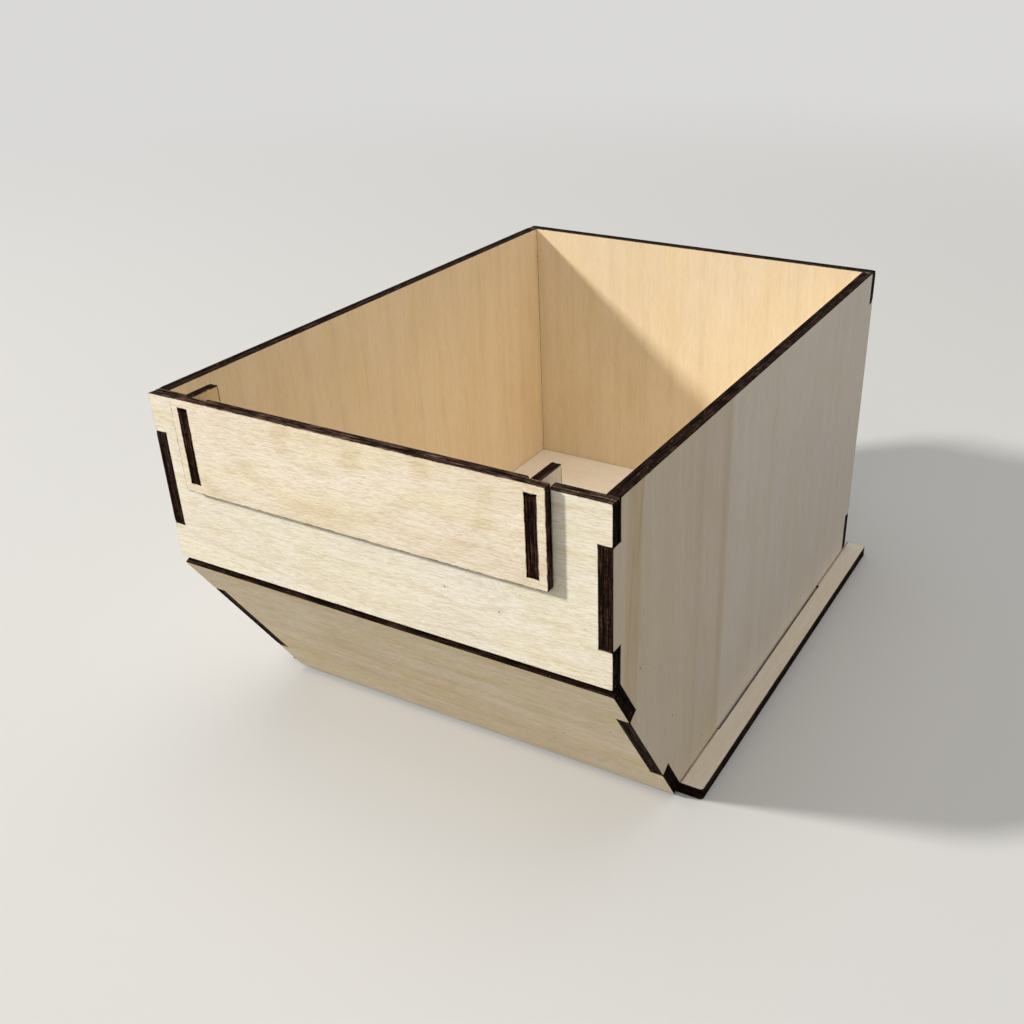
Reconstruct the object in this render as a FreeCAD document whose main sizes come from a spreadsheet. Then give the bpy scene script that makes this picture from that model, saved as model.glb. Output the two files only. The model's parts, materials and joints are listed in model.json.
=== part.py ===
import FreeCAD, Part
import Sketcher
import os

# Sorting box: a glued plywood tray with a slanted lower front, a base plate that stands out at both
# sides as runners, and a label plate that hangs on the front panel by two hooks and lifts off.
# Millimetres, +Z up, and +Y runs from the front to the back. The origin is on the ground, midway
# between the side panels and midway between the label plate's face and the base plate's back edge.
# The outlines below are drawn with Y = 0 at the front panel's outer face, and shifted as they are placed.

os.makedirs("parts", exist_ok=True)
doc = FreeCAD.newDocument("SortingBox")

DRIVING_SIZES = [
    ("sheet", 3.0, "plywood of the box"),
    ("thin_sheet", 2.0, "plywood of the label plate and its hooks"),
    ("width", 111.4, "over both side panels"),
    ("depth", 159.0, "front panel's outer face to back panel's outer face"),
    ("height", 91.5, "ground to rim"),
    ("front_height", 40.0, "upright part of the front"),
    ("front_gap", 0.3, "between the front panel's lower edge and the slanted panel, inside"),
    ("front_finger", 8.8, "front panel's finger at its top and bottom"),
    ("slope_foot", 33.5, "how far back the slanted panel meets the base plate"),
    ("slope_finger", 12.8, "slanted panel's finger at its top and bottom"),
    ("rear_top_finger", 8.8, "back panel's finger at its top"),
    ("rear_foot_finger", 12.0, "back panel's finger at its foot, above the base plate"),
    ("flange", 5.9, "base plate outside each side panel"),
    ("base_overhang", 3.0, "base plate behind the back panel"),
    ("base_round", 1.0, "base plate's corner radius"),
    ("tab_setback", 22.8, "base plate's front edge to the side panel's tab"),
    ("tab_length", 75.5, "side panel's tab in the base plate"),
    ("back_tab", 50.0, "back panel's tab in the base plate"),
    ("slot_play", 0.5, "open line along the outer side of a base slot"),
    ("slot_end_play", 0.2, "gap at each end of a base slot"),
    ("support_height", 9.0, "strips under the inner floor"),
    ("floor_gap", 0.3, "between the slanted panel and the inner floor or its strips"),
    ("notches_left", 2.3, "how far left of the middle the pair of notches is"),
    ("plate_right", 0.5, "how far right the plate hangs in its side play"),
    ("notch_width", 5.2, "notch in the front panel's rim"),
    ("notch_depth", 5.0, "notch in the front panel's rim"),
    ("notch_round", 0.5, "radius at the notch's mouth"),
    ("seat_gap", 0.1, "under a hook, above the notch's floor"),
    ("hang_gap", 0.2, "between the front panel and what hangs before and behind it"),
    ("hook_bridge", 6.3, "height of a hook over the front panel"),
    ("hook_leg", 4.4, "width of a hook's leg inside the box"),
    ("hook_leg_length", 13.0, "hook's leg below its bridge"),
    ("plate_inset", 10.45, "side panel's outer face to the label plate's end, if it hung in the middle"),
    ("plate_height", 21.7, "label plate"),
    ("hook_inset", 3.25, "label plate's end to the middle of the hook there"),
    ("slot_top", 2.1, "label plate's slot below the plate's upper edge"),
    ("slot_height", 17.3, "label plate's slot"),
    ("hook_play", 0.2, "at each side of a hook in the label plate's slot"),
    ("hook_top_play", 0.5, "above a hook's tab in the label plate's slot"),
]

sizes = doc.addObject("Spreadsheet::Sheet", "Sizes")
for row, (name, value, meaning) in enumerate(DRIVING_SIZES, start=1):
    sizes.set(f"A{row}", name)
    sizes.set(f"B{row}", str(value))
    sizes.set(f"C{row}", meaning)
    sizes.setAlias(f"B{row}", name)
doc.recompute()

# Lines of the box, as expressions of the sheet's values. FRONT is the front panel's outer face in
# the part's own frame, and every other Y is measured from that face.
FRONT = "((Sizes.hang_gap + Sizes.thin_sheet - Sizes.depth - Sizes.base_overhang) / 2)"
SHEET = "Sizes.sheet"
RIM = "Sizes.height"
BACK = "Sizes.depth"
BACK_INSIDE = "(Sizes.depth - Sizes.sheet)"
SIDE = "(Sizes.width / 2)"
SIDE_INSIDE = "(Sizes.width / 2 - Sizes.sheet)"

FRONT_FOOT = "(Sizes.height - Sizes.front_height)"
FRONT_SOCKET_TOP = "(Sizes.height - Sizes.front_finger)"
FRONT_SOCKET_FOOT = f"({FRONT_FOOT} + Sizes.front_finger)"

REAR_SOCKET_TOP = "(Sizes.height - Sizes.rear_top_finger)"
REAR_SOCKET_FOOT = "(Sizes.sheet + Sizes.rear_foot_finger)"

# The slanted panel's inner face runs from the front panel's inner face down to the base plate
SLOPE_TOP = f"({FRONT_FOOT} - Sizes.front_gap)"
SLOPE_RUN = "(Sizes.slope_foot - Sizes.sheet)"
SLOPE_DROP = f"({SLOPE_TOP} - Sizes.sheet)"
SLOPE_LENGTH = f"sqrt({SLOPE_RUN} ^ 2 + {SLOPE_DROP} ^ 2)"
SLOPE_SOCKET_TOP = "Sizes.slope_finger"
SLOPE_SOCKET_FOOT = f"({SLOPE_LENGTH} - Sizes.slope_finger)"

TAB_FRONT = "(Sizes.slope_foot + Sizes.tab_setback)"
TAB_BACK = f"({TAB_FRONT} + Sizes.tab_length)"

FLOOR_UNDERSIDE = "(Sizes.sheet + Sizes.support_height)"
FLOOR_FRONT = f"(Sizes.slope_foot - Sizes.support_height * {SLOPE_RUN} / {SLOPE_DROP} + Sizes.floor_gap)"

HALF_PLATE = "(Sizes.width / 2 - Sizes.plate_inset)"
HOOK_REACH = f"({HALF_PLATE} - Sizes.hook_inset)"
NOTCH_MIDDLES = {
    "left": f"(-Sizes.notches_left - {HOOK_REACH})",
    "right": f"(-Sizes.notches_left + {HOOK_REACH})",
}
NOTCH_FLOOR = "(Sizes.height - Sizes.notch_depth)"

# The hooks stand on the notches' floors, and the label plate is level with their tops
BRIDGE_UNDERSIDE = f"({NOTCH_FLOOR} + Sizes.seat_gap)"
HOOK_TOP = f"({BRIDGE_UNDERSIDE} + Sizes.hook_bridge)"
PLATE_MIDDLE = "(Sizes.plate_right - Sizes.notches_left)"
PLATE_FOOT = f"({HOOK_TOP} - Sizes.plate_height)"
SLOT_TOP = f"({HOOK_TOP} - Sizes.slot_top)"
SLOT_FOOT = f"({SLOT_TOP} - Sizes.slot_height)"
LEG_FRONT = "(Sizes.sheet + Sizes.hang_gap)"
LEG_BACK = f"({LEG_FRONT} + Sizes.hook_leg)"
LEG_FOOT = f"({BRIDGE_UNDERSIDE} - Sizes.hook_leg_length)"


def value_of(expression):
    return float(sizes.evalExpression(expression))


def on_slope(along, outside=False):
    # Y and Z of a point on the slanted panel's inner or outer face, along from its upper inner edge
    y = f"Sizes.sheet + {along} * {SLOPE_RUN} / {SLOPE_LENGTH}"
    z = f"{SLOPE_TOP} - {along} * {SLOPE_DROP} / {SLOPE_LENGTH}"
    if outside:
        y += f" - Sizes.sheet * {SLOPE_DROP} / {SLOPE_LENGTH}"
        z += f" - Sizes.sheet * {SLOPE_RUN} / {SLOPE_LENGTH}"
    return y, z


def new_body(label):
    body = doc.addObject("PartDesign::Body", label)
    body.Label = label
    return body


def new_sketch(body, plane, place, name, front=FRONT):
    # A sketch on one of the body's own origin planes: XY at a height, XZ at a distance behind the
    # front (its normal is -Y), YZ at a distance to the right of the middle
    offsets = {
        "XY_Plane": {"y": front, "z": place},
        "XZ_Plane": {"z": f"-({front} + {place})"},
        "YZ_Plane": {"x": front, "z": place},
    }
    sketch = body.newObject("Sketcher::SketchObject", f"{body.Name}_{name}")
    support = [feature for feature in body.Origin.OriginFeatures if feature.Role == plane][0]
    sketch.AttachmentSupport = [(support, "")]
    sketch.MapMode = "FlatFace"
    for axis, offset in offsets[plane].items():
        sketch.setExpression(f"AttachmentOffset.Base.{axis}", offset)
    return sketch


def hold_point(sketch, line, x, y):
    # Fixes the start of a line at the place that two expressions give
    for kind, expression in (("DistanceX", x), ("DistanceY", y)):
        place = Sketcher.Constraint(kind, -1, 1, line, 1, value_of(expression))
        index = sketch.addConstraint(place)
        sketch.setExpression(f"Constraints[{index}]", expression)


def draw_outline(sketch, corners):
    # A closed outline of straight lines through corners given as pairs of expressions
    first = sketch.GeometryCount
    count = len(corners)
    points = [FreeCAD.Vector(value_of(x), value_of(y), 0) for x, y in corners]
    for k in range(count):
        sketch.addGeometry(Part.LineSegment(points[k], points[(k + 1) % count]), False)
    for k in range(count):
        following = first + (k + 1) % count
        sketch.addConstraint(Sketcher.Constraint("Coincident", first + k, 2, following, 1))
    for k, (x, y) in enumerate(corners):
        hold_point(sketch, first + k, x, y)


def draw_rectangle(sketch, left, right, foot, top):
    draw_outline(sketch, [(left, foot), (right, foot), (right, top), (left, top)])


def pad(body, sketch, length):
    feature = body.newObject("PartDesign::Pad", f"{sketch.Name}_pad")
    feature.Profile = sketch
    feature.setExpression("Length", length)
    sketch.Visibility = False
    doc.recompute()


def cut_through(body, sketch):
    # The cut runs along the sketch's normal, the way the body was padded
    volume_before = body.Shape.Volume
    feature = body.newObject("PartDesign::Pocket", f"{sketch.Name}_cut")
    feature.Profile = sketch
    feature.Type = "ThroughAll"
    feature.Reversed = True
    sketch.Visibility = False
    doc.recompute()
    if body.Shape.Volume >= volume_before - 0.1:
        raise RuntimeError(f"{feature.Name} cuts nothing")
    return feature


def round_edges(body, base, radius, chosen):
    # Rounds the edges of a feature that the test picks by their middle point and direction
    names = []
    for number, edge in enumerate(base.Shape.Edges, start=1):
        middle = edge.CenterOfMass
        if chosen(edge, middle):
            names.append(f"Edge{number}")
    feature = body.newObject("PartDesign::Fillet", f"{body.Name}_rounds")
    feature.Base = (base, names)
    feature.setExpression("Radius", radius)
    doc.recompute()


def runs_along(edge, axis):
    start, end = edge.Vertexes[0].Point, edge.Vertexes[-1].Point
    return abs((end - start).normalize().dot(axis)) > 0.999


def side_panel(label, inner_x):
    body = new_body(label)
    sketch = new_sketch(body, "YZ_Plane", inner_x, "outline")
    draw_outline(sketch, [
        (SHEET, RIM),
        (SHEET, FRONT_SOCKET_TOP),
        ("0", FRONT_SOCKET_TOP),
        ("0", FRONT_SOCKET_FOOT),
        (SHEET, FRONT_SOCKET_FOOT),
        (SHEET, SLOPE_TOP),
        on_slope(SLOPE_SOCKET_TOP),
        on_slope(SLOPE_SOCKET_TOP, outside=True),
        on_slope(SLOPE_SOCKET_FOOT, outside=True),
        on_slope(SLOPE_SOCKET_FOOT),
        ("Sizes.slope_foot", SHEET),
        (TAB_FRONT, SHEET),
        (TAB_FRONT, "0"),
        (TAB_BACK, "0"),
        (TAB_BACK, SHEET),
        (BACK_INSIDE, SHEET),
        (BACK_INSIDE, REAR_SOCKET_FOOT),
        (BACK, REAR_SOCKET_FOOT),
        (BACK, REAR_SOCKET_TOP),
        (BACK_INSIDE, REAR_SOCKET_TOP),
        (BACK_INSIDE, RIM),
    ])
    pad(body, sketch, SHEET)
    return body


def side_sockets(body, sketch, foot, top):
    # A notch in each upright edge of a cross panel, where the side panels' fingers come through
    draw_rectangle(sketch, f"-{SIDE}", f"-{SIDE_INSIDE}", foot, top)
    draw_rectangle(sketch, SIDE_INSIDE, SIDE, foot, top)
    cut_through(body, sketch)


def bottom_panel():
    body = new_body("bottom_panel")
    edge = f"({SIDE} + Sizes.flange)"
    outline = new_sketch(body, "XY_Plane", "0", "outline")
    draw_rectangle(outline, f"-{edge}", edge, "Sizes.slope_foot", f"{BACK} + Sizes.base_overhang")
    pad(body, outline, SHEET)

    slots = new_sketch(body, "XY_Plane", "0", "slots")
    slot_side = f"({SIDE} + Sizes.slot_play)"
    slot_front = f"{TAB_FRONT} - Sizes.slot_end_play"
    slot_back = f"{TAB_BACK} + Sizes.slot_end_play"
    draw_rectangle(slots, f"-{slot_side}", f"-{SIDE_INSIDE}", slot_front, slot_back)
    draw_rectangle(slots, SIDE_INSIDE, slot_side, slot_front, slot_back)
    back_slot_end = "(Sizes.back_tab / 2 + Sizes.slot_end_play)"
    draw_rectangle(slots, f"-{back_slot_end}", back_slot_end, BACK_INSIDE, f"{BACK} + Sizes.slot_play")
    cut = cut_through(body, slots)

    corner_x = value_of(edge)
    round_edges(body, cut, "Sizes.base_round", lambda line, middle:
                runs_along(line, FreeCAD.Vector(0, 0, 1)) and abs(abs(middle.x) - corner_x) < 0.001)
    return body


def front_panel():
    body = new_body("front_panel")
    outline = new_sketch(body, "XZ_Plane", SHEET, "outline")
    draw_rectangle(outline, f"-{SIDE}", SIDE, FRONT_FOOT, RIM)
    pad(body, outline, SHEET)
    sockets = new_sketch(body, "XZ_Plane", SHEET, "sockets")
    side_sockets(body, sockets, FRONT_SOCKET_FOOT, FRONT_SOCKET_TOP)

    notches = new_sketch(body, "XZ_Plane", SHEET, "notches")
    for middle_x in NOTCH_MIDDLES.values():
        half = "Sizes.notch_width / 2"
        draw_rectangle(notches, f"{middle_x} - {half}", f"{middle_x} + {half}", NOTCH_FLOOR, RIM)
    cut = cut_through(body, notches)

    rim = value_of(RIM)
    socket_x = value_of(SIDE) - 0.001
    round_edges(body, cut, "Sizes.notch_round", lambda line, middle:
                runs_along(line, FreeCAD.Vector(0, 1, 0))
                and abs(middle.z - rim) < 0.001 and abs(middle.x) < socket_x)
    return body


def lower_front_panel():
    # Drawn flat, with its upper inner edge on the X axis, then tipped down to the base plate
    body = new_body("lower_front_panel")
    outline = new_sketch(body, "XY_Plane", f"-{SHEET}", "outline", front="0")
    draw_rectangle(outline, f"-{SIDE}", SIDE, "0", SLOPE_LENGTH)
    pad(body, outline, SHEET)
    sockets = new_sketch(body, "XY_Plane", f"-{SHEET}", "sockets", front="0")
    side_sockets(body, sockets, SLOPE_SOCKET_TOP, SLOPE_SOCKET_FOOT)

    tip = f"-atan({SLOPE_DROP} / {SLOPE_RUN})"
    turned = FreeCAD.Rotation(FreeCAD.Vector(1, 0, 0), value_of(tip))
    body.Placement = FreeCAD.Placement(FreeCAD.Vector(0, 0, 0), turned)
    body.setExpression("Placement.Base.y", f"{FRONT} + {SHEET}")
    body.setExpression("Placement.Base.z", SLOPE_TOP)
    body.setExpression("Placement.Rotation.Angle", tip)
    return body


def back_panel():
    body = new_body("back_panel")
    outline = new_sketch(body, "XZ_Plane", BACK, "outline")
    tab = "(Sizes.back_tab / 2)"
    draw_outline(outline, [
        (f"-{SIDE}", RIM),
        (f"-{SIDE}", SHEET),
        (f"-{tab}", SHEET),
        (f"-{tab}", "0"),
        (tab, "0"),
        (tab, SHEET),
        (SIDE, SHEET),
        (SIDE, RIM),
    ])
    pad(body, outline, SHEET)
    sockets = new_sketch(body, "XZ_Plane", BACK, "sockets")
    side_sockets(body, sockets, REAR_SOCKET_FOOT, REAR_SOCKET_TOP)
    return body


def inner_floor():
    body = new_body("inner_floor")
    sketch = new_sketch(body, "XY_Plane", FLOOR_UNDERSIDE, "outline")
    draw_rectangle(sketch, f"-{SIDE_INSIDE}", SIDE_INSIDE, FLOOR_FRONT, BACK_INSIDE)
    pad(body, sketch, SHEET)
    return body


def floor_support(label, left_x, right_x):
    body = new_body(label)
    sketch = new_sketch(body, "XY_Plane", SHEET, "outline")
    draw_rectangle(sketch, left_x, right_x, "Sizes.slope_foot + Sizes.floor_gap", BACK_INSIDE)
    pad(body, sketch, "Sizes.support_height")
    return body


def label_plate():
    body = new_body("label_plate")
    outline = new_sketch(body, "XZ_Plane", "-Sizes.hang_gap", "outline")
    left, right = f"{PLATE_MIDDLE} - {HALF_PLATE}", f"{PLATE_MIDDLE} + {HALF_PLATE}"
    draw_rectangle(outline, left, right, PLATE_FOOT, HOOK_TOP)
    pad(body, outline, "Sizes.thin_sheet")

    slots = new_sketch(body, "XZ_Plane", "-Sizes.hang_gap", "slots")
    half = "(Sizes.thin_sheet / 2 + Sizes.hook_play)"
    for middle_x in NOTCH_MIDDLES.values():
        slot_x = f"{middle_x} + Sizes.plate_right"
        draw_rectangle(slots, f"{slot_x} - {half}", f"{slot_x} + {half}", SLOT_FOOT, SLOT_TOP)
    cut_through(body, slots)
    return body


def label_hook(label, middle_x):
    # An upside-down U over the front panel's rim: its front tab fills the plate's slot
    body = new_body(label)
    sketch = new_sketch(body, "YZ_Plane", f"{middle_x} + Sizes.plate_right - Sizes.thin_sheet / 2", "outline")
    plate_front = "-(Sizes.hang_gap + Sizes.thin_sheet)"
    plate_back = "-Sizes.hang_gap"
    tab_top = f"{SLOT_TOP} - Sizes.hook_top_play"
    draw_outline(sketch, [
        (plate_front, SLOT_FOOT),
        (plate_front, tab_top),
        (plate_back, tab_top),
        (plate_back, HOOK_TOP),
        (LEG_BACK, HOOK_TOP),
        (LEG_BACK, LEG_FOOT),
        (LEG_FRONT, LEG_FOOT),
        (LEG_FRONT, BRIDGE_UNDERSIDE),
        (plate_back, BRIDGE_UNDERSIDE),
        (plate_back, SLOT_FOOT),
    ])
    pad(body, sketch, "Sizes.thin_sheet")
    return body


bodies = [
    bottom_panel(),
    side_panel("left_side_panel", f"-{SIDE}"),
    side_panel("right_side_panel", SIDE_INSIDE),
    back_panel(),
    front_panel(),
    lower_front_panel(),
    floor_support("left_floor_support", f"-{SIDE_INSIDE}", f"-{SIDE_INSIDE} + {SHEET}"),
    floor_support("right_floor_support", f"{SIDE_INSIDE} - {SHEET}", SIDE_INSIDE),
    inner_floor(),
    label_plate(),
    label_hook("left_label_hook", NOTCH_MIDDLES["left"]),
    label_hook("right_label_hook", NOTCH_MIDDLES["right"]),
]
doc.recompute()

for item in doc.Objects:
    if "Invalid" in item.State or "Error" in item.State:
        raise RuntimeError(f"{item.Name} failed: {item.State}")
for body in bodies:
    if body.Shape.isNull() or not body.Shape.isValid() or len(body.Shape.Solids) != 1:
        raise RuntimeError(f"{body.Label} is not one sound solid")

for body in bodies:
    body.Shape.exportStep(f"parts/{body.Label}.step")
    box = body.Shape.BoundBox
    print(f"{body.Label}: {body.Shape.Volume:.1f} mm3, X {box.XMin:.2f} to {box.XMax:.2f}, "
          f"Y {box.YMin:.2f} to {box.YMax:.2f}, Z {box.ZMin:.2f} to {box.ZMax:.2f}")
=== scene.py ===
# Looks of the sorting box: laser-cut plywood sheets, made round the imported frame
import json
import math
import bmesh
import bpy
from mathutils import Matrix, Vector
from mathutils.geometry import delaunay_2d_cdt

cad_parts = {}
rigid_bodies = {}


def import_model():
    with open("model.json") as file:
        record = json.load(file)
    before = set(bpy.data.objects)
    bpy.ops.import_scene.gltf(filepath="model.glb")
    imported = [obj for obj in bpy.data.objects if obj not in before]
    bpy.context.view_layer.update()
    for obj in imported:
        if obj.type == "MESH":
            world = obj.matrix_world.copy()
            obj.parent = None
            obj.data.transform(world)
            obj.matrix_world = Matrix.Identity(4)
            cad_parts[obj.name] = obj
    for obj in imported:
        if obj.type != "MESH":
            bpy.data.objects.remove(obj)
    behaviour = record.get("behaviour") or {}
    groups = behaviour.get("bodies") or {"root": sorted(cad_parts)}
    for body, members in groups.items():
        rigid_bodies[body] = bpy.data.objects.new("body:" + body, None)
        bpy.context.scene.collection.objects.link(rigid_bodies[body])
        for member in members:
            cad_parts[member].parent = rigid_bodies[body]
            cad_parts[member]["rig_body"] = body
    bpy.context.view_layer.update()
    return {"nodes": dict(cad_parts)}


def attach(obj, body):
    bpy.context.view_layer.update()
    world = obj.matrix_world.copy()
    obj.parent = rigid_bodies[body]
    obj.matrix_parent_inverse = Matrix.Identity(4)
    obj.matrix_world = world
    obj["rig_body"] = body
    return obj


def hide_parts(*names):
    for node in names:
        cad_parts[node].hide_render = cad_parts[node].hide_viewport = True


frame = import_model()
mm = 0.001
print("frame loaded:", len(frame["nodes"]), "nodes")


# Camera at the photo's viewing angle: right of the front, looking down into the box
cameraSetup = {
    "place": (136.165, -234.718, 182.578),
    "right": (0.88256, 0.47016, -0.00522),
    "down": (0.22636, -0.43458, -0.87172),
    "lens": 40.165,
    "shift": (-0.086, 0.0272),
}


def makeCamera(setup):
    data = bpy.data.cameras.new("camera")
    data.lens = setup["lens"]
    data.shift_x, data.shift_y = setup["shift"]
    data.clip_start = 0.01
    camera = bpy.data.objects.new("camera", data)
    right = Vector(setup["right"]).normalized()
    up = -Vector(setup["down"]).normalized()
    turned = Matrix((right, up, right.cross(up))).transposed().to_4x4()
    camera.matrix_world = Matrix.Translation(Vector(setup["place"]) * mm) @ turned
    bpy.context.scene.collection.objects.link(camera)
    bpy.context.scene.camera = camera


makeCamera(cameraSetup)
print("camera placed")


# Helpers for node trees and colours
def addNode(tree, kind, inputs=(), **settings):
    # A node with its options set, and its inputs set or linked
    node = tree.nodes.new(kind)
    for name, value in settings.items():
        setattr(node, name, value)
    for name, value in dict(inputs).items():
        if isinstance(value, bpy.types.NodeSocket):
            tree.links.new(value, node.inputs[name])
        else:
            node.inputs[name].default_value = value
    return node


def mathNode(tree, operation, *values):
    return addNode(tree, "ShaderNodeMath", enumerate(values), operation=operation).outputs[0]


def rampNode(tree, value, low, high, lowOut=0.0, highOut=1.0):
    # Runs smoothly from lowOut to highOut while value goes from low to high
    inputs = {"Value": value, "From Min": low, "From Max": high, "To Min": lowOut, "To Max": highOut}
    return addNode(tree, "ShaderNodeMapRange", inputs, interpolation_type="SMOOTHSTEP").outputs["Result"]


def vectorNode(tree, operation, inputs):
    return addNode(tree, "ShaderNodeVectorMath", inputs, operation=operation).outputs


def splitNode(tree, place):
    return addNode(tree, "ShaderNodeSeparateXYZ", {0: place}).outputs


def mixColors(tree, share, first, second, blend="MIX"):
    node = addNode(tree, "ShaderNodeMix", {0: share, 6: first, 7: second}, data_type="RGBA", blend_type=blend)
    return node.outputs[2]


def scaleColor(tree, color, tone):
    return vectorNode(tree, "SCALE", {0: color, "Scale": tone})["Vector"]


def paint(red, green, blue):
    # Blender's linear colour for one that is read on screen from 0 to 255
    channels = []
    for value in (red, green, blue):
        share = value / 255
        channels.append(share / 12.92 if share <= 0.04045 else ((share + 0.055) / 1.055) ** 2.4)
    return (*channels, 1.0)


# Wood. Every pattern reads Object coordinates, turned by a Mapping node into the sheet's own:
# x along the grain, y across it and z from the outer face into the sheet, in millimetres.
# A size is that of a pattern's grains along these three, and a tint multiplies the colour.
softRange = (0.3, 0.7)     # of a noise, from its thin places to its full ones
patternDepth = 40          # of the wood's patterns, so that they hardly change through a sheet
woodLook = {
    "patches": {"along": 30, "across": 11, "from": 0.4, "to": 0.66, "tint": (0.97, 0.955, 0.83, 1)},
    "blushes": {"along": 22, "across": 14, "from": 0.4, "to": 0.66, "tint": (0.96, 0.94, 0.94, 1)},
    "bands": {"along": 110, "across": 6, "from": 0.35, "to": 0.7, "tint": (0.92, 0.89, 0.83, 1)},
    "threads": {"along": 16, "across": 0.9, "from": 0.46, "to": 0.72, "tint": (0.92, 0.895, 0.82, 1)},
    "fibres": {"along": 3.2, "across": 0.32, "from": 0.44, "to": 0.62, "tint": (0.89, 0.86, 0.79, 1)},
    "flecks": {"along": 0.9, "across": 0.36, "from": 0.45, "to": 0.62, "tint": (0.94, 0.925, 0.88, 1)},
    "pores": {"along": 2.0, "across": 0.17, "from": 0.66, "to": 0.76, "tint": (0.8, 0.73, 0.62, 1)},
    "coarse": ("patches", "blushes", "bands", "threads"),
    "fine": ("fibres", "flecks", "pores"),
    "seedStep": 0.7,       # between one pattern and the next
    "distortion": 0.7,
    "bump": 0.04,          # millimetres
    "bumpStrength": 0.6,
    "roughness": (0.52, 0.66),
    "specular": 0.25,
}
ringLook = {
    "wobble": 0.1,
    "wobbleSize": (18, 7, patternDepth),
    "fadeSize": (14, 9, patternDepth),
    "fadeRange": (0.35, 0.65),
    "faintest": 0.2,
    "tint": (0.84, 0.79, 0.68, 1),
}
markLook = {
    "wanderSize": (30, 400, 400),
    "unevenSize": (14, 0.8, 400),
    "fadeOut": 3,          # millimetres before and behind each end of a streak
    "pinTone": paint(92, 72, 56),
    "pinShare": 0.75,
    "pinEdge": (1.4, 0.3),  # where a pin knot begins and is full, in radii
}
scorchLook = {
    "smokeTone": paint(128, 88, 54),
    "smokeSize": (1.6, 1.6, 3),
    "smokeFade": 2.4,      # how steeply the smoke thins away from the cut
    "faintest": 0.3,
    "dashSize": (2.2, 2.2, 3),
    "charTone": paint(48, 30, 20),
    "charShare": 0.8,
}
cutLook = {
    "char": paint(24, 14, 10),
    "veneerSize": (7, 7, 0.34),
    "veneerDistortion": 0.3,
    "veneerRange": (0.42, 0.68),
    "blotchSize": (2.6, 2.6, 1.1),
    "blotchRange": (0.28, 0.6),
    "glue": paint(7, 4, 3),
    "glueFromCore": 0.18,  # share of the thickness between the sheet's middle and a glue line
    "glueEdge": (0.16, 0.05),
    "glueShare": 0.85,
    "stripeSize": (0.34, 0.34, 3.2),
    "stripeTones": (0.65, 1.4),
    "endGrainRange": (0.6, 0.9),  # of the cut across the grain, 0 along it and 1 straight across
    "spark": paint(150, 112, 84),
    "sparkSize": (1.3, 1.3, 0.2),
    "sparkRange": (0.66, 0.76),
    "sparkShare": 0.5,
    "bump": 0.05,          # millimetres
    "bumpStrength": 0.8,
    "roughness": (0.75, 0.5),
    "specular": 0.01,
}


def sheetPlace(tree, sheet):
    return addNode(tree, "ShaderNodeMapping", {
        "Vector": addNode(tree, "ShaderNodeTexCoord").outputs["Object"],
        "Location": -sheet["low"] / mm,
        "Rotation": sheet["turned"].to_euler("XYZ"),
        "Scale": (1 / mm, 1 / mm, 1 / mm),
    }, vector_type="POINT").outputs["Vector"]


def streakNoise(tree, place, size, seed, detail=2.0, distortion=0.0):
    # Noise whose grains have the size given along x, y and z, in millimetres
    stretched = vectorNode(tree, "MULTIPLY", {0: place, 1: [1 / side for side in size]})["Vector"]
    inputs = {"Vector": stretched, "W": seed, "Scale": 1.0, "Detail": detail, "Distortion": distortion}
    return addNode(tree, "ShaderNodeTexNoise", inputs, noise_dimensions="4D").outputs["Fac"]


def annualRings(tree, place, sheet):
    # Thin darker lines of the year rings: ellipses round the figure's middle, one of them at its size
    figure, look, seed = sheet["figure"], ringLook, sheet["seed"]
    wobble = streakNoise(tree, place, look["wobbleSize"], seed + 7)
    fromMiddle = vectorNode(tree, "SUBTRACT", {0: place, 1: (figure["x"], figure["y"], 0)})["Vector"]
    squeeze = (1 / figure["wide"], 1 / figure["high"], 0)
    squeezed = vectorNode(tree, "MULTIPLY", {0: fromMiddle, 1: squeeze})["Vector"]
    radius = vectorNode(tree, "LENGTH", {0: squeezed})["Value"]
    bent = mathNode(tree, "MULTIPLY_ADD", wobble, look["wobble"], radius)
    turn = math.tau * figure["rings"]
    phase = math.pi / 2 - turn * (1 + look["wobble"] / 2)
    wave = mathNode(tree, "SINE", mathNode(tree, "MULTIPLY_ADD", bent, turn, phase))
    line = rampNode(tree, wave, figure["line"], 1.0)
    patchy = streakNoise(tree, place, look["fadeSize"], seed + 8)
    faintest = figure["share"] * look["faintest"]
    fading = rampNode(tree, patchy, *look["fadeRange"], faintest, figure["share"])
    return mathNode(tree, "MULTIPLY", line, fading)


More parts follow.
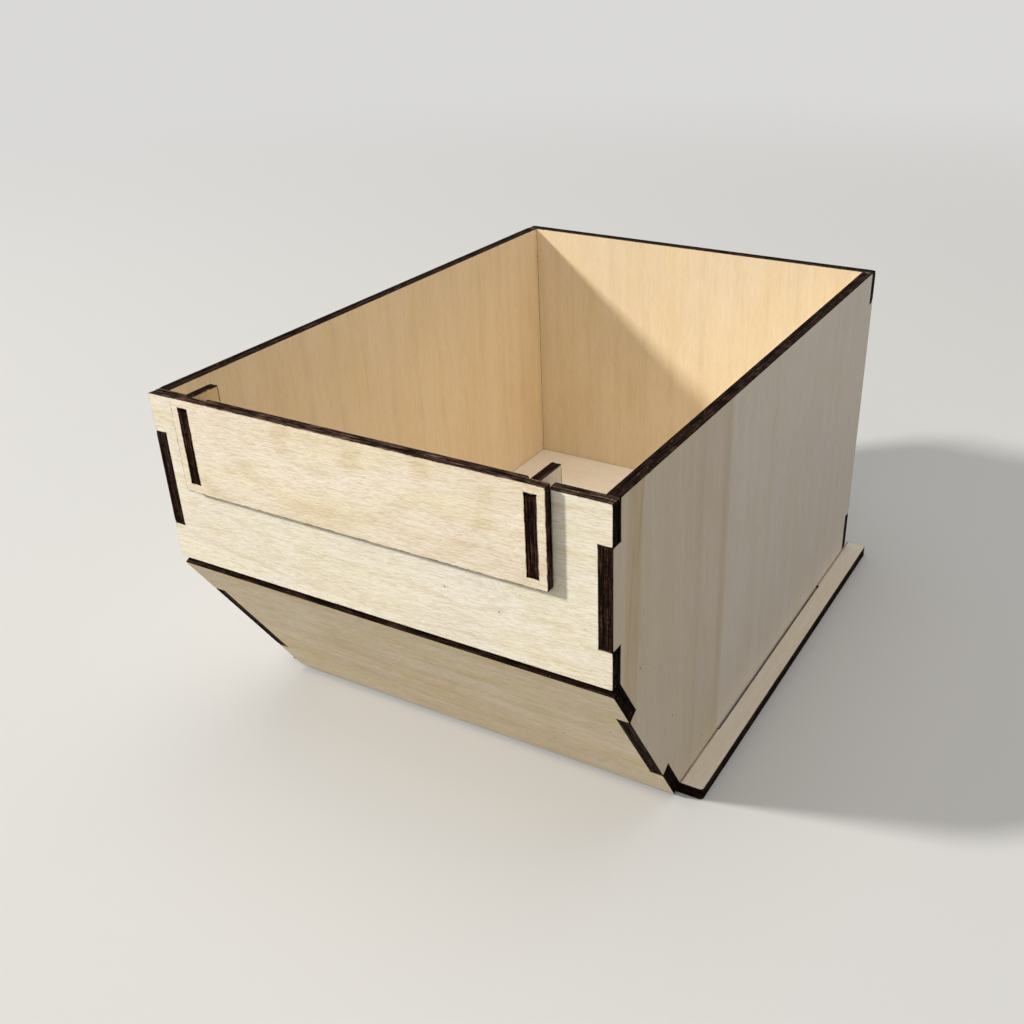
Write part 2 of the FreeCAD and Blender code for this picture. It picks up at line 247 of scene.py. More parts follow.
def addMarks(tree, place, color, sheet):
    # Streaks along the grain, dark lines of painted shade where parts meet, and pin knots that the photo
    # shows on this sheet's outer face
    look, seed = markLook, sheet["seed"]
    x, y, z = splitNode(tree, place)
    outer = mathNode(tree, "LESS_THAN", z, sheet["thickness"] / 2)
    for number, streakOrSeamShade in enumerate(sheet.get("streaksAndSeamShade", ())):
        wander = streakNoise(tree, place, look["wanderSize"], seed + 20 + number)
        middle = mathNode(tree, "MULTIPLY_ADD", x, streakOrSeamShade["lean"], streakOrSeamShade["y"] + streakOrSeamShade["wander"] / 2)
        away = mathNode(tree, "SUBTRACT", mathNode(tree, "MULTIPLY_ADD", wander, streakOrSeamShade["wander"], y), middle)
        half = streakOrSeamShade["width"] / 2
        near = rampNode(tree, mathNode(tree, "ABSOLUTE", away), half, half - streakOrSeamShade["soft"])
        uneven = streakNoise(tree, place, look["unevenSize"], seed + 30 + number)
        uneven = rampNode(tree, uneven, *softRange, streakOrSeamShade["faintest"], 1.0)
        share = mathNode(tree, "MULTIPLY", near, uneven)
        if "span" in streakOrSeamShade:
            for end, inwards in zip(streakOrSeamShade["span"], (look["fadeOut"], -look["fadeOut"])):
                fading = rampNode(tree, x, end - inwards, end + inwards)
                share = mathNode(tree, "MULTIPLY", share, fading)
        share = mathNode(tree, "MULTIPLY", share, outer)
        # The base plate's very dark tints paint the shade along its seams with the side panels; the other
        # tints are the wood's own colour.
        color = mixColors(tree, share, color, streakOrSeamShade["tint"], "MULTIPLY")
    for px, py, radius in sheet.get("pins", ()):
        near = vectorNode(tree, "DISTANCE", {0: place, 1: (px, py, 0)})["Value"]
        begins, full = look["pinEdge"]
        spot = rampNode(tree, near, radius * begins, radius * full, 0.0, look["pinShare"])
        color = mixColors(tree, mathNode(tree, "MULTIPLY", spot, outer), color, look["pinTone"])
    return color


def makeWood(sheet):
    material = bpy.data.materials.new(sheet["node"] + "Wood")
    material.use_nodes = True
    tree = material.node_tree
    shader = tree.nodes["Principled BSDF"]
    place = sheetPlace(tree, sheet)
    look, scorch, seed = woodLook, scorchLook, sheet["seed"]

    depth = splitNode(tree, place)["Z"]
    inside = mathNode(tree, "GREATER_THAN", depth, sheet["thickness"] / 2)
    color = mixColors(tree, inside, sheet["outerTone"], sheet["innerTone"])
    color = mixColors(tree, annualRings(tree, place, sheet), color, ringLook["tint"], "MULTIPLY")
    shares = {}
    for strength in ("coarse", "fine"):
        for name in look[strength]:
            layer = look[name]
            size = (layer["along"], layer["across"], patternDepth)
            layerSeed = seed + look["seedStep"] * len(shares)
            noise = streakNoise(tree, place, size, layerSeed, distortion=look["distortion"])
            shares[name] = rampNode(tree, noise, layer["from"], layer["to"], 0.0, sheet[strength])
            color = mixColors(tree, shares[name], color, layer["tint"], "MULTIPLY")
    color = addMarks(tree, place, color, sheet)

    # Smoke along the cut, and a few charred dashes right at it
    edge = addNode(tree, "ShaderNodeAttribute", attribute_name="scorch").outputs["Fac"]
    smoke = streakNoise(tree, place, scorch["smokeSize"], seed + 5)
    smoke = rampNode(tree, smoke, *softRange, scorch["faintest"], 1.0)
    burnt = mathNode(tree, "MULTIPLY", mathNode(tree, "POWER", edge, scorch["smokeFade"]), smoke)
    color = mixColors(tree, mathNode(tree, "MULTIPLY", burnt, sheet["scorched"]), color, scorch["smokeTone"])
    dashes = rampNode(tree, streakNoise(tree, place, scorch["dashSize"], seed + 6), *sheet["charred"])
    charred = mathNode(tree, "MULTIPLY", rampNode(tree, edge, *sheet["charBand"]), dashes)
    charred = mathNode(tree, "MULTIPLY", charred, scorch["charShare"])
    color = mixColors(tree, charred, color, scorch["charTone"])

    sunken = mathNode(tree, "ADD", mathNode(tree, "ADD", shares["fibres"], shares["flecks"]), shares["pores"])
    bump = addNode(tree, "ShaderNodeBump", {
        "Height": mathNode(tree, "MULTIPLY", sunken, -1.0), "Distance": look["bump"] * mm,
        "Strength": look["bumpStrength"]}).outputs["Normal"]
    roughness = rampNode(tree, shares["fibres"], 0, 1, *look["roughness"])
    tree.links.new(color, shader.inputs["Base Color"])
    tree.links.new(roughness, shader.inputs["Roughness"])
    tree.links.new(bump, shader.inputs["Normal"])
    shader.inputs["Specular IOR Level"].default_value = look["specular"]
    return material


def makeCut(sheet):
    # Charred edge: veneers of different browns with black glue lines, crossed by the beam's stripes
    material = bpy.data.materials.new(sheet["node"] + "Cut")
    material.use_nodes = True
    tree = material.node_tree
    shader = tree.nodes["Principled BSDF"]
    place = sheetPlace(tree, sheet)
    look, seed = cutLook, sheet["seed"] + 50

    depth = splitNode(tree, place)["Z"]
    veneers = streakNoise(tree, place, look["veneerSize"], seed, distortion=look["veneerDistortion"])
    blotches = streakNoise(tree, place, look["blotchSize"], seed + 1, detail=3)
    brownVeneers = rampNode(tree, veneers, *look["veneerRange"])
    brownBlotches = rampNode(tree, blotches, *look["blotchRange"])
    share = mathNode(tree, "MULTIPLY", brownVeneers, brownBlotches)
    color = mixColors(tree, share, look["char"], sheet["burntTone"])

    fromCore = mathNode(tree, "ABSOLUTE", mathNode(tree, "SUBTRACT", depth, sheet["thickness"] / 2))
    glueDepth = sheet["thickness"] * look["glueFromCore"]
    fromGlue = mathNode(tree, "ABSOLUTE", mathNode(tree, "SUBTRACT", fromCore, glueDepth))
    glued = rampNode(tree, fromGlue, *look["glueEdge"], 0.0, look["glueShare"])
    color = mixColors(tree, glued, color, look["glue"])

    stripes = streakNoise(tree, place, look["stripeSize"], seed + 2, detail=3)
    color = scaleColor(tree, color, rampNode(tree, stripes, *softRange, *look["stripeTones"]))
    normal = addNode(tree, "ShaderNodeTexCoord").outputs["Normal"]
    across = vectorNode(tree, "DOT_PRODUCT", {0: normal, 1: sheet["grain"]})["Value"]
    endGrain = mathNode(tree, "ABSOLUTE", across)
    # End grain is darker, and on the front panel and slope its very low share also paints shade on their ends
    # that face away from the key lamp.
    color = scaleColor(tree, color, rampNode(tree, endGrain, *look["endGrainRange"], 1.0, sheet["endGrainAndShadeTone"]))
    sparks = streakNoise(tree, place, look["sparkSize"], seed + 3, detail=1)
    sparks = rampNode(tree, sparks, *look["sparkRange"], 0.0, look["sparkShare"])
    color = mixColors(tree, sparks, color, look["spark"])

    bump = addNode(tree, "ShaderNodeBump", {
        "Height": mathNode(tree, "ADD", stripes, veneers), "Distance": look["bump"] * mm,
        "Strength": look["bumpStrength"]}).outputs["Normal"]
    roughness = rampNode(tree, blotches, *softRange, *look["roughness"])
    tree.links.new(color, shader.inputs["Base Color"])
    tree.links.new(roughness, shader.inputs["Roughness"])
    tree.links.new(bump, shader.inputs["Normal"])
    shader.inputs["Specular IOR Level"].default_value = look["specular"]
    return material


# Sheets. Each one is drawn again from its node's flat outer face, and a node tree pulls the charred
# edges out of that face: scorch band, broken edge, outer ply, then the core ply that lies back a little.
cutSizes = {
    "step": 1.0,           # between points along an outline
    "edgeBreak": 0.1,
    "outerPly": 0.3,       # share of the thickness down to the end of the outer ply
    "coreFrom": 0.34,      # and down to where the core ply lies back
    "coreDepth": 0.05,
    "scorchBand": 0.4,
    "fray": 0.035,
    "frayLength": 1.1,
    "frayStretch": (1, 1, 0.35),
    "slotFray": 2.2,       # how much more the edges of slots are frayed
    "merge": 0.002,
    "sharpFrom": 30,       # degrees
}


def makeCutTree():
    tree = bpy.data.node_groups.new("laserCutSheet", "GeometryNodeTree")
    face = tree.interface
    face.new_socket(name="Geometry", in_out="OUTPUT", socket_type="NodeSocketGeometry")
    face.new_socket(name="Geometry", in_out="INPUT", socket_type="NodeSocketGeometry")
    for name in ("Thickness", "Edge Break", "Core Depth", "Scorch Band", "Fray", "Fray Length", "Seed"):
        face.new_socket(name=name, in_out="INPUT", socket_type="NodeSocketFloat")
    for name in ("Wood", "Cut"):
        face.new_socket(name=name, in_out="INPUT", socket_type="NodeSocketMaterial")
    given = tree.nodes.new("NodeGroupInput").outputs
    edgeBreak, scorchBand = given["Edge Break"], given["Scorch Band"]
    outward = addNode(tree, "GeometryNodeInputNamedAttribute", {
        "Name": "outOfWood"}, data_type="FLOAT_VECTOR").outputs["Attribute"]

    def moved(sideways, deeper):
        # Offset out of the wood by sideways, and into the sheet by deeper
        side = vectorNode(tree, "SCALE", {0: outward, "Scale": sideways})["Vector"]
        down = addNode(tree, "ShaderNodeCombineXYZ", {"Z": deeper}).outputs["Vector"]
        return vectorNode(tree, "ADD", {0: side, 1: down})["Vector"]

    start = mathNode(tree, "MULTIPLY", scorchBand, -1.0)
    mesh = addNode(tree, "GeometryNodeSetPosition", {
        "Geometry": given["Geometry"], "Offset": moved(start, 0.0)}).outputs["Geometry"]
    faces = addNode(tree, "GeometryNodeInputMeshEdgeNeighbors").outputs["Face Count"]
    rim = addNode(tree, "FunctionNodeCompare", {
        2: faces, 3: 1}, data_type="INT", operation="EQUAL").outputs["Result"]

    outerPly = mathNode(tree, "MULTIPLY", given["Thickness"], cutSizes["outerPly"])
    coreFrom = mathNode(tree, "MULTIPLY", given["Thickness"], cutSizes["coreFrom"])
    half = mathNode(tree, "MULTIPLY", given["Thickness"], 0.5)
    coreBack = mathNode(tree, "MULTIPLY", given["Core Depth"], -1.0)
    steps = [
        (mathNode(tree, "SUBTRACT", scorchBand, edgeBreak), 0.0),
        (edgeBreak, edgeBreak),
        (0.0, mathNode(tree, "SUBTRACT", outerPly, edgeBreak)),
        (coreBack, mathNode(tree, "SUBTRACT", coreFrom, outerPly)),
        (0.0, mathNode(tree, "SUBTRACT", half, coreFrom)),
    ]
    walls = None
    for number, (sideways, deeper) in enumerate(steps):
        pulled = addNode(tree, "GeometryNodeExtrudeMesh", {
            "Mesh": mesh, "Selection": rim, "Offset": moved(sideways, deeper), "Offset Scale": 1.0},
            mode="EDGES")
        mesh, rim = pulled.outputs["Mesh"], pulled.outputs["Top"]
        if number == 0:
            mesh = addNode(tree, "GeometryNodeStoreNamedAttribute", {
                "Geometry": mesh, "Selection": rim, "Name": "scorch", "Value": 1.0},
                data_type="FLOAT", domain="POINT").outputs["Geometry"]
        elif walls is None:
            walls = pulled.outputs["Side"]
        else:
            walls = addNode(tree, "FunctionNodeBooleanMath", {
                0: walls, 1: pulled.outputs["Side"]}, operation="OR").outputs["Boolean"]
    mesh = addNode(tree, "GeometryNodeSetMaterial", {
        "Geometry": mesh, "Selection": True, "Material": given["Wood"]}).outputs["Geometry"]
    mesh = addNode(tree, "GeometryNodeSetMaterial", {
        "Geometry": mesh, "Selection": walls, "Material": given["Cut"]}).outputs["Geometry"]

    # The other half is the same, seen from the other face
    at = splitNode(tree, addNode(tree, "GeometryNodeInputPosition").outputs["Position"])
    opposite = addNode(tree, "ShaderNodeCombineXYZ", {
        "X": at["X"], "Y": at["Y"], "Z": mathNode(tree, "SUBTRACT", given["Thickness"], at["Z"])})
    mirrored = addNode(tree, "GeometryNodeSetPosition", {
        "Geometry": mesh, "Position": opposite.outputs["Vector"]}).outputs["Geometry"]
    mirrored = addNode(tree, "GeometryNodeFlipFaces", {"Mesh": mirrored}).outputs["Mesh"]
    joined = tree.nodes.new("GeometryNodeJoinGeometry")
    for part in (mirrored, mesh):
        tree.links.new(part, joined.inputs["Geometry"])
    mesh = addNode(tree, "GeometryNodeMergeByDistance", {
        "Geometry": joined.outputs["Geometry"], "Distance": cutSizes["merge"]}).outputs["Geometry"]

    # The beam leaves an uneven edge, with ripples along its own way through the sheet
    at = addNode(tree, "GeometryNodeInputPosition").outputs["Position"]
    stretched = vectorNode(tree, "MULTIPLY", {0: at, 1: cutSizes["frayStretch"]})["Vector"]
    pitch = mathNode(tree, "DIVIDE", 1.0, given["Fray Length"])
    noise = addNode(tree, "ShaderNodeTexNoise", {
        "Vector": stretched, "W": given["Seed"], "Scale": pitch, "Detail": 2.0},
        noise_dimensions="4D").outputs["Fac"]
    swing = mathNode(tree, "MULTIPLY", mathNode(tree, "SUBTRACT", noise, 0.5), 2.0)
    for name in ("scorch", "fray"):
        share = addNode(tree, "GeometryNodeInputNamedAttribute", {"Name": name}, data_type="FLOAT")
        swing = mathNode(tree, "MULTIPLY", swing, share.outputs["Attribute"])
    swing = mathNode(tree, "MULTIPLY", swing, given["Fray"])
    mesh = addNode(tree, "GeometryNodeSetPosition", {
        "Geometry": mesh, "Offset": moved(swing, 0.0)}).outputs["Geometry"]
    for name in ("outOfWood", "fray"):
        removed = addNode(tree, "GeometryNodeRemoveAttribute", {"Geometry": mesh, "Name": name})
        mesh = removed.outputs["Geometry"]
    mesh = addNode(tree, "GeometryNodeRealizeInstances", {"Geometry": mesh}).outputs["Geometry"]
    addNode(tree, "NodeGroupOutput", {"Geometry": mesh})
    return tree


def measureSheet(sheet):
    # The sheet's own axes, from the largest flat face that looks the way outward says, and its outlines
    samePoint, sameLevel = 0.001 * mm, 0.01 * mm
    sameWay, roughlyThatWay = 0.999, 0.9
    mesh = bmesh.new()
    mesh.from_mesh(frame["nodes"][sheet["node"]].data)
    bmesh.ops.remove_doubles(mesh, verts=mesh.verts, dist=samePoint)
    hint = Vector(sheet["outward"]).normalized()
    facing = [face for face in mesh.faces if face.normal.dot(hint) > roughlyThatWay]
    outer = max(facing, key=lambda face: face.calc_area())
    outward = outer.normal.copy()
    grain = Vector(sheet["grain"])
    turned = Matrix((grain, (-outward).cross(grain), -outward))
    corners = [turned @ vertex.co for vertex in mesh.verts]
    low = Vector(min(corner[axis] for corner in corners) for axis in range(3))
    high = Vector(max(corner[axis] for corner in corners) for axis in range(3))
    sheet["turned"], sheet["low"], sheet["thickness"] = turned, low, (high - low).z / mm

    flat = [face for face in mesh.faces if face.normal.dot(outward) > sameWay
            and (turned @ face.calc_center_median() - low).z < sameLevel]
    following = {}
    for face in flat:
        for corner in face.loops:
            if sum(other in flat for other in corner.edge.link_faces) == 1:
                following[corner.vert] = corner.link_loop_next.vert
    outlines = []
    while following:
        here = next(iter(following))
        outline = []
        while here in following:
            outline.append(((turned @ here.co) - low).xy / mm)
            here = following.pop(here)
        outlines.append(outline)
    mesh.free()
    # Seen along +z the outer outline runs the other way round from the slots'
    outlines.sort(key=lambda points: -abs(loopArea(points)))
    return outlines


def loopArea(points):
    return sum(a.cross(b) for a, b in zip(points, points[1:] + points[:1])) / 2


def walkOutline(points, step):
    # Points along a closed outline, its corners kept, each with its way out of the wood
    walked = []
    for here, there in zip(points, points[1:] + points[:1]):
        count = max(1, round((there - here).length / step))
        walked += [here.lerp(there, part / count) for part in range(count)]
    outs = []
    for index, here in enumerate(walked):
        before = (here - walked[index - 1]).normalized()
        after = (walked[(index + 1) % len(walked)] - here).normalized()
        left = [Vector((-way.y, way.x)) for way in (before, after)]
        outs.append((left[0] + left[1]) / (1 + left[0].dot(left[1])))
    return walked, outs


def fillOutlines(outlines):
    # Triangles between the outer outline and the slots, facing out of the sheet
    points, rings = [], []
    for outline in outlines:
        rings.append(list(range(len(points), len(points) + len(outline))))
        points += outline
    insideWithHoles, samePoint = 2, 1e-4
    verts, _, faces, sources, _, _ = delaunay_2d_cdt(points, [], rings, insideWithHoles, samePoint)
    return verts, [face[::-1] for face in faces], [source[0] for source in sources]


def makeSheet(sheet, tree):
    outlines, outs, frays = [], [], []
    for number, outline in enumerate(measureSheet(sheet)):
        walked, out = walkOutline(outline, cutSizes["step"])
        outlines.append(walked)
        outs += out
        frays += [cutSizes["slotFray"] if number else 1.0] * len(walked)
    points, triangles, sources = fillOutlines(outlines)
    outs = [outs[source] for source in sources]
    frays = [frays[source] for source in sources]

    cap = bpy.data.meshes.new(sheet["node"] + "Face")
    cap.from_pydata([(*point, 0) for point in points], [], triangles)
    way = cap.attributes.new("outOfWood", "FLOAT_VECTOR", "POINT")
    way.data.foreach_set("vector", [value for out in outs for value in (out.x, out.y, 0.0)])
    cap.attributes.new("fray", "FLOAT", "POINT").data.foreach_set("value", frays)
    source = bpy.data.objects.new(sheet["node"] + "Face", cap)
    bpy.context.scene.collection.objects.link(source)
    modifier = source.modifiers.new("cut", "NODES")
    modifier.node_group = tree
    values = {
        "Thickness": sheet["thickness"],
        "Edge Break": cutSizes["edgeBreak"],
        "Core Depth": cutSizes["coreDepth"],
        "Scorch Band": cutSizes["scorchBand"],
        "Fray": cutSizes["fray"],
        "Fray Length": cutSizes["frayLength"],
        "Seed": float(sheet["seed"]),
        "Wood": makeWood(sheet),
        "Cut": makeCut(sheet),
    }
    for socket in tree.interface.items_tree:
        if socket.in_out == "INPUT" and socket.name in values:
            modifier[socket.identifier] = values[socket.name]

    depsgraph = bpy.context.evaluated_depsgraph_get()
    mesh = bpy.data.meshes.new_from_object(
        source.evaluated_get(depsgraph), preserve_all_data_layers=True, depsgraph=depsgraph)
    bpy.data.objects.remove(source)
    back = sheet["turned"].transposed()
    mesh.transform(Matrix.Translation(back @ sheet["low"]) @ (back * mm).to_4x4())
    mesh.name = sheet["name"]
    for polygon in mesh.polygons:
        polygon.use_smooth = True
    mesh.set_sharp_from_angle(angle=math.radians(cutSizes["sharpFrom"]))
    piece = bpy.data.objects.new(sheet["name"], mesh)
    bpy.context.scene.collection.objects.link(piece)
    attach(piece, frame["nodes"][sheet["node"]]["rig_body"])
    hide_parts(sheet["node"])
    print("sheet cut:", sheet["name"], len(mesh.polygons), "faces")


# One dictionary for each sheet, with what it has beyond plainSheet. Places on it are in its own
# millimetres, figure is the middle and size of its year rings, and its bands of tint run along its grain,
# some of them dark lines of painted shade along seams.
thick, thin = "plywood_3mm", "plywood_2mm"
cream, warm, inner = paint(253, 246, 232), paint(250, 235, 210), paint(249, 233, 202)
brown, russet = paint(70, 52, 42), paint(84, 54, 43)
little, some, much = (0.6, 0.68), (0.47, 0.6), (0.32, 0.5)  # how much of a scorched edge is charred black
plainSheet = {
    "slot": thick,
    "outerTone": cream,
    "innerTone": cream,
    "burntTone": brown,      # of the lighter veneers in its cut edges
    # The lower shares given on the front panel and slope also paint shade on their ends.
    "endGrainAndShadeTone": 0.8,          # share of the tones that is left on end grain
    "scorched": 0.5,
    "charred": little,
    "charBand": (0.5, 0.9),  # of the scorch band, where the charred dashes begin and are full
}
sheets = [
    {
        "node": "front_panel", "name": "frontPanel", "outward": (0, -1, 0), "grain": (1, 0, 0),
        # Its end grain tone is this low partly as painted shade on the end facing away from the key lamp.
        "innerTone": inner, "burntTone": paint(118, 97, 84), "endGrainAndShadeTone": 0.2,
        "coarse": 0.55, "fine": 0.95, "seed": 3,
        "figure": {"x": 75, "y": -20, "wide": 190, "high": 57.5, "rings": 7, "line": 0.88, "share": 0.55},
        "pins": [(73.9, 27.3, 0.22), (86.5, 29.5, 0.22), (91.5, 24.2, 0.16)],
    },
    {
        "node": "label_plate", "name": "labelPlate", "outward": (0, -1, 0), "grain": (1, 0, 0),
        "slot": thin, "outerTone": paint(253, 242, 224), "burntTone": paint(120, 93, 80),
        "scorched": 0.8, "charred": some, "charBand": (0.35, 0.75),
        "coarse": 0.7, "fine": 0.95, "seed": 11,
        "figure": {"x": 38, "y": 3, "wide": 25, "high": 15, "rings": 1.6, "line": 0.3, "share": 0.5},
    },
    {
        "node": "lower_front_panel", "name": "lowerFrontPanel", "outward": (0, -0.85, -0.53),
        # Its end grain tone is low partly as painted shade on the end facing away from the key lamp.
        "grain": (1, 0, 0), "outerTone": warm, "innerTone": inner, "endGrainAndShadeTone": 0.3,
        "coarse": 1.0, "fine": 1.0, "seed": 23,
        "figure": {"x": 150, "y": 20, "wide": 160, "high": 30, "rings": 4, "line": 0.7, "share": 0.4},
        "pins": [(88.5, 36.5, 0.4), (84, 43.2, 0.35), (104, 23.5, 0.3)],
        "streaksAndSeamShade": [
            {"y": 10, "lean": 0, "width": 60, "soft": 28, "wander": 6, "faintest": 0.8,
             "tint": (0.92, 0.92, 0.91, 1)},
        ],
    },
    {
        "node": "right_side_panel", "name": "rightSidePanel", "outward": (1, 0, 0), "grain": (0, 0, 1),
        "outerTone": paint(248, 238, 227), "innerTone": paint(238, 226, 202),
        "coarse": 0.35, "fine": 0.35, "seed": 31,
        "figure": {"x": 40, "y": 210, "wide": 300, "high": 60, "rings": 8, "line": 0.6, "share": 0.15},
        "pins": [(49.4, 11.8, 0.3), (8.1, 46, 0.3), (26.4, 28.2, 0.25)],
        "streaksAndSeamShade": [
            {"y": 27.5, "lean": 0, "width": 58, "soft": 2, "wander": 1.5, "faintest": 0.85,
             "tint": (0.92, 0.875, 0.79, 1)},
            {"y": 5.4, "lean": 0.04, "width": 7.6, "soft": 1.6, "wander": 1, "faintest": 0.8,
             "tint": (0.92, 0.86, 0.74, 1)},
            {"y": -1.5, "lean": 0.15, "width": 1.1, "soft": 0.5, "wander": 0.8, "faintest": 0.3,
             "tint": (0.84, 0.78, 0.68, 1), "span": (73, 120)},
            {"y": 1.7, "lean": 0.08, "width": 1.2, "soft": 0.6, "wander": 0.8, "faintest": 0.3,
             "tint": (0.88, 0.83, 0.75, 1), "span": (50, 80)},
            {"y": 39.7, "lean": 0, "width": 4.4, "soft": 2, "wander": 2, "faintest": 0.5,
             "tint": (0.94, 0.93, 0.91, 1)},
            {"y": 53, "lean": 0, "width": 5, "soft": 2, "wander": 1.5, "faintest": 0.5,
             "tint": (0.94, 0.94, 0.9, 1)},
        ],
    },
    {
        "node": "left_side_panel", "name": "leftSidePanel", "outward": (-1, 0, 0), "grain": (0, 0, 1),
        "outerTone": paint(244, 237, 223), "innerTone": paint(249, 229, 199),
        "coarse": 0.45, "fine": 0.35, "seed": 43,
        "figure": {"x": 60, "y": -40, "wide": 280, "high": 55, "rings": 5, "line": 0.5, "share": 0.25},
    },
    {
        "node": "back_panel", "name": "backPanel", "outward": (0, 1, 0), "grain": (0, 0, 1),
        "innerTone": paint(231, 213, 184),
        "coarse": 0.45, "fine": 0.35, "seed": 53,
        "figure": {"x": 30, "y": 150, "wide": 240, "high": 50, "rings": 5, "line": 0.5, "share": 0.25},
    },
    {
        "node": "bottom_panel", "name": "basePlate", "outward": (0, 0, 1), "grain": (0, 1, 0),
        "outerTone": paint(231, 221, 206), "scorched": 0.85,
        "coarse": 0.4, "fine": 0.35, "seed": 61,
        "figure": {"x": 60, "y": -30, "wide": 300, "high": 40, "rings": 5, "line": 0.6, "share": 0.25},
        # Dark lines where the side panels stand on the base: painted shade of the seam between the parts.
        "streaksAndSeamShade": [
            {"y": y, "lean": 0, "width": 1.1, "soft": 0.5, "wander": 0.1, "faintest": 0.7,
             "tint": (0.3, 0.2, 0.15, 1)} for y in (5.8, 117.4)
        ],
    },
    {
        "node": "inner_floor", "name": "innerFloor", "outward": (0, 0, 1), "grain": (1, 0, 0),
        "outerTone": paint(254, 246, 234),
        "coarse": 0.35, "fine": 0.35, "seed": 71,
        "figure": {"x": 50, "y": 180, "wide": 260, "high": 60, "rings": 5, "line": 0.6, "share": 0.2},
    },
    {
        "node": "left_floor_support", "name": "leftFloorStrip", "outward": (1, 0, 0), "grain": (0, 1, 0),
        "coarse": 0.45, "fine": 0.6, "seed": 83,
        "figure": {"x": 60, "y": -30, "wide": 200, "high": 20, "rings": 3, "line": 0.6, "share": 0.25},
    },
    {
        "node": "right_floor_support", "name": "rightFloorStrip", "outward": (-1, 0, 0), "grain": (0, 1, 0),
        "coarse": 0.45, "fine": 0.6, "seed": 89,
        "figure": {"x": 60, "y": -30, "wide": 200, "high": 20, "rings": 3, "line": 0.6, "share": 0.25},
    },
    {
        "node": "left_label_hook", "name": "leftLabelHook", "outward": (1, 0, 0), "grain": (0, 0, 1),
        "slot": thin, "outerTone": paint(240, 214, 172), "burntTone": russet,
        "scorched": 1.0, "charred": much, "charBand": (0.1, 0.45),
        "coarse": 0.45, "fine": 0.6, "seed": 97,
        "figure": {"x": 10, "y": -30, "wide": 100, "high": 20, "rings": 3, "line": 0.6, "share": 0.25},
    },
    {
        "node": "right_label_hook", "name": "rightLabelHook", "outward": (1, 0, 0), "grain": (0, 0, 1),
        "slot": thin, "burntTone": russet,
        "scorched": 1.0, "charred": much, "charBand": (0.1, 0.45),
        "coarse": 0.45, "fine": 0.6, "seed": 103,
        "figure": {"x": 10, "y": -30, "wide": 100, "high": 20, "rings": 3, "line": 0.6, "share": 0.25},
    },
]

cutTree = makeCutTree()
for sheet in sheets:
    makeSheet({**plainSheet, **sheet}, cutTree)


# Plain pale floor, a key lamp from the front left, wide ones overhead and in front, and an even
# pale surrounding. Lengths are in metres.
stageSetup = {
    "floorSize": 8.0,
    "floorTone": (0.64, 0.635, 0.62, 1),       # as the camera sees it
    "bounceTone": (0.27, 0.263, 0.25, 1),      # as it lights the box
    "floorRoughness": 0.9,
    "floorSpecular": 0.1,
    "fadeFrom": 0.25,                          # from the box, where the floor turns into the background
    "fadeTo": 1.1,
    "backgroundTone": (0.7, 0.695, 0.685, 1),
    "skyTone": (1.0, 0.985, 0.965, 1),
    "skyStrength": 0.36,
    "lamps": [
        {"name": "keyLamp", "from": (-0.62, -0.515, 0.505), "distance": 3.0, "size": 0.3, "power": 81.0,
         "tone": (1.0, 0.98, 0.95)},
        {"name": "topLamp", "from": (0.0, 0.0, 1.0), "distance": 2.0, "size": 2.0, "power": 11.0,
         "tone": (1.0, 0.985, 0.96)},
        {"name": "frontLamp", "from": (0.1, -0.8, 0.6), "distance": 2.5, "size": 1.6, "power": 7.0,
         "tone": (1.0, 0.985, 0.96)},
    ],
}


def seenDirectly(tree):
    # 1 for what the camera, a reflection or glass shows, and 0 for light that falls on the box
    rays = addNode(tree, "ShaderNodeLightPath").outputs
    seen = mathNode(tree, "MAXIMUM", rays["Is Camera Ray"], rays["Is Glossy Ray"])
    return mathNode(tree, "MAXIMUM", seen, rays["Is Transmission Ray"])


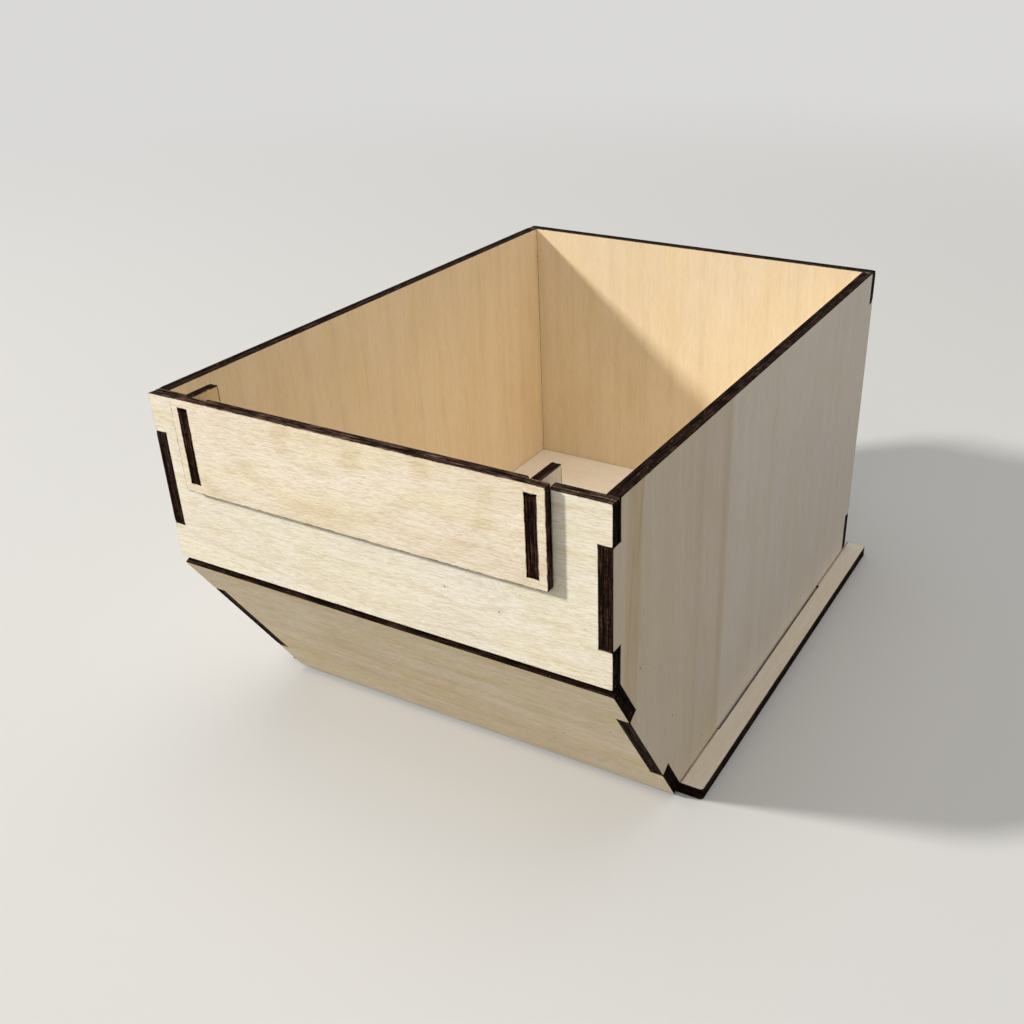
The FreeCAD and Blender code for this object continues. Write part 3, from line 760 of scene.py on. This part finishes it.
def makeStage(setup):
    half = setup["floorSize"] / 2
    mesh = bpy.data.meshes.new("floor")
    corners = [(-half, -half, 0), (half, -half, 0), (half, half, 0), (-half, half, 0)]
    mesh.from_pydata(corners, [], [(0, 1, 2, 3)])
    floor = bpy.data.objects.new("floor", mesh)
    bpy.context.scene.collection.objects.link(floor)
    material = bpy.data.materials.new("paleFloor")
    material.use_nodes = True
    tree = material.node_tree
    shader = tree.nodes["Principled BSDF"]
    seen = seenDirectly(tree)
    tone = mixColors(tree, seen, setup["bounceTone"], setup["floorTone"])
    tree.links.new(tone, shader.inputs["Base Color"])
    shader.inputs["Roughness"].default_value = setup["floorRoughness"]
    shader.inputs["Specular IOR Level"].default_value = setup["floorSpecular"]
    away = vectorNode(tree, "LENGTH", {0: addNode(tree, "ShaderNodeTexCoord").outputs["Object"]})["Value"]
    fade = mathNode(tree, "MULTIPLY", rampNode(tree, away, setup["fadeFrom"], setup["fadeTo"]), seen)
    background = addNode(tree, "ShaderNodeEmission", {"Color": setup["backgroundTone"]}).outputs["Emission"]
    mixed = addNode(tree, "ShaderNodeMixShader", {0: fade, 1: shader.outputs["BSDF"], 2: background})
    tree.links.new(mixed.outputs["Shader"], tree.nodes["Material Output"].inputs["Surface"])
    mesh.materials.append(material)


def makeLight(setup):
    for look in setup["lamps"]:
        lamp = bpy.data.lights.new(look["name"], "AREA")
        lamp.shape = "DISK"
        lamp.size = look["size"]
        lamp.energy = look["power"]
        lamp.color = look["tone"]
        holder = bpy.data.objects.new(look["name"], lamp)
        towards = Vector(look["from"]).normalized()
        holder.location = towards * look["distance"]
        holder.rotation_euler = towards.to_track_quat("Z", "Y").to_euler()
        bpy.context.scene.collection.objects.link(holder)

    world = bpy.data.worlds.new("surrounding")
    bpy.context.scene.world = world
    world.use_nodes = True
    tree = world.node_tree
    background = tree.nodes["Background"]
    seen = seenDirectly(tree)
    tone = mixColors(tree, seen, setup["skyTone"], setup["backgroundTone"])
    tree.links.new(tone, background.inputs["Color"])
    tree.links.new(rampNode(tree, seen, 0, 1, setup["skyStrength"], 1.0), background.inputs["Strength"])


makeStage(stageSetup)
makeLight(stageSetup)
bpy.context.scene.view_settings.view_transform = "Standard"
print("stage and light made")
